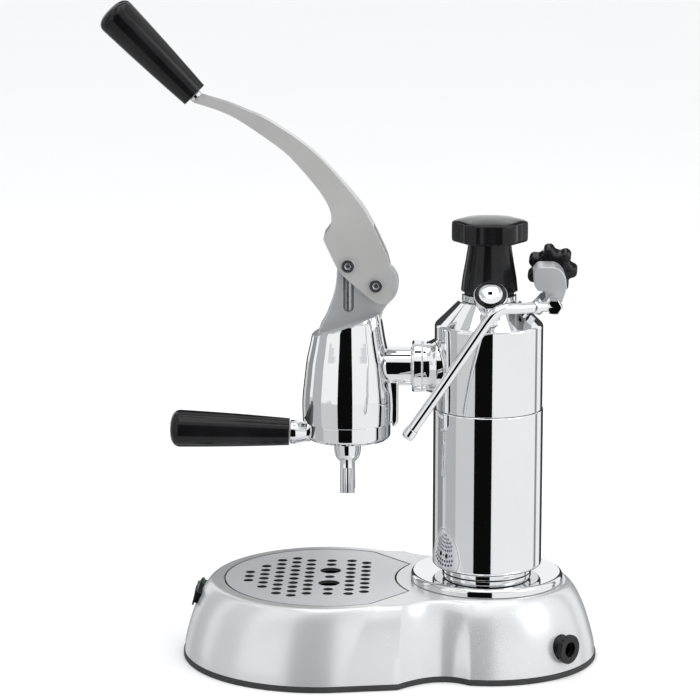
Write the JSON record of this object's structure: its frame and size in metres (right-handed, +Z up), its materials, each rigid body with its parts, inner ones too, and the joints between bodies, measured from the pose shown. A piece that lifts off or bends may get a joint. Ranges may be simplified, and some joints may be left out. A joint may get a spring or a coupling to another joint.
{
  "type": "espresso machine",
  "caption": "Lever espresso machine: figure-eight base with drip tray, upright boiler, piston group with hand lever, portafilter and steam wand.",
  "frame": {"origin": "on the floor, under the middle of the whole machine's bounding box", "axes": "+Z up, -X towards the lever and portafilter (the machine's front), +X towards the boiler, +Y towards the sight glass side"},
  "size_m": [0.3415, 0.191, 0.4563],
  "materials": {
    "chrome": "mirror-polished chrome plate over steel and brass",
    "satin_steel": "finely satin stainless steel",
    "lever_metal": "softly polished, slightly greyer plate",
    "bakelite": "glossy black moulded phenolic",
    "rubber": "black rubber",
    "brass": "machined brass",
    "steel": "plain stainless steel",
    "gauge_glass": "clear borosilicate tube",
    "lamp_lens": "green translucent lens"
  },
  "bodies": {
    "base": {"base_shell": "chrome", "base_trim": "rubber", "base_bottom_plate": "steel", "base_screw_1": "steel", "base_screw_2": "steel", "base_screw_3": "steel", "switch_bezel": "bakelite", "pilot_lamp": "lamp_lens", "gland_body": "bakelite", "gland_nut": "bakelite", "boiler_flange": "chrome", "boiler_foot": "chrome", "boiler_body": "chrome", "boiler_head": "chrome", "heater_flange": "brass", "heater_core": "brass", "heating_element": "steel", "filler_neck": "chrome", "safety_valve_body": "chrome", "safety_valve_spring": "steel", "safety_valve_dome": "chrome", "steam_stub": "chrome", "steam_valve_body": "chrome", "wand_joint": "chrome", "gauge_fitting_low": "chrome", "gauge_fitting_high": "chrome", "sight_glass": "gauge_glass", "gauge_guard": "chrome", "boiler_outlet": "chrome", "pipe_collar": "chrome", "group_body": "chrome", "group_gasket": "rubber", "shower_screen": "steel"},
    "basin": {"drip_basin": "bakelite"},
    "grille": {"drip_grille": "satin_steel"},
    "rocker": {"power_rocker": "bakelite"},
    "cap_lift": {"cap_gasket": "rubber"},
    "cap": {"boiler_cap": "bakelite", "cap_stem": "chrome"},
    "steam_knob": {"steam_knob": "bakelite", "steam_spindle": "brass"},
    "wand": {"wand_collar": "chrome", "steam_wand": "chrome", "wand_tip": "chrome"},
    "lever": {"lever": "lever_metal", "lever_ferrule": "chrome", "lever_grip": "bakelite", "fulcrum_pin": "steel", "pin_screw_near": "steel", "pin_screw_far": "steel"},
    "piston": {"piston": "brass", "piston_seal_low": "rubber", "piston_seal_high": "rubber", "piston_rod": "steel", "piston_pin": "steel"},
    "portafilter": {"portafilter_body": "chrome", "filter_basket": "steel", "portafilter_grip": "bakelite", "spout": "chrome"}
  },
  "joints": [
    {"name": "lever_pull", "type": "hinge", "parent": "base", "child": "lever", "pos_m": [0.0156, 0, 0.2639], "axis": [0, -1, 0], "range_deg": [0, 66]},
    {"name": "piston_travel", "type": "slide", "parent": "base", "child": "piston", "axis": [0, 0, -1], "range_m": [0, 0.025]},
    {"name": "portafilter_twist", "type": "hinge", "parent": "base", "child": "portafilter", "pos_m": [-0.0035, 0, 0.16], "axis": [0, 0, -1], "range_deg": [0, 60]},
    {"name": "steam_turn", "type": "hinge", "parent": "base", "child": "steam_knob", "pos_m": [0.1363, 0.0128, 0.2703], "axis": [0.0715, 0.9493, 0.3062], "range_deg": [0, 540]},
    {"name": "wand_swing", "type": "hinge", "parent": "base", "child": "wand", "pos_m": [0.1356, -0.046, 0.2564], "axis": [-0.8943, -0.4471, 0.0179], "range_deg": [0, 50]},
    {"name": "cap_raise", "type": "slide", "parent": "base", "child": "cap_lift", "axis": [0, 0, 1], "range_m": [0, 0.007]},
    {"name": "cap_turn", "type": "hinge", "parent": "cap_lift", "child": "cap", "pos_m": [0.0932, 0, 0.28], "axis": [0, 0, 1], "range_deg": [0, 1080]},
    {"name": "basin_lift", "type": "slide", "parent": "base", "child": "basin", "axis": [0, 0, 1], "range_m": [0, 0.03]},
    {"name": "grille_lift", "type": "slide", "parent": "basin", "child": "grille", "axis": [0, 0, 1], "range_m": [0, 0.02]},
    {"name": "rocker_tilt", "type": "hinge", "parent": "base", "child": "rocker", "pos_m": [-0.1106, 0, 0.0415], "axis": [0.2402, 0, 0.9707], "range_deg": [0, 12]}
  ],
  "couplings": [
    {"joint": "piston_travel", "follows": "lever_pull", "m_per_rad": 0.02118},
    {"joint": "cap_raise", "follows": "cap_turn", "m_per_rad": 0.0003395}
  ]
}
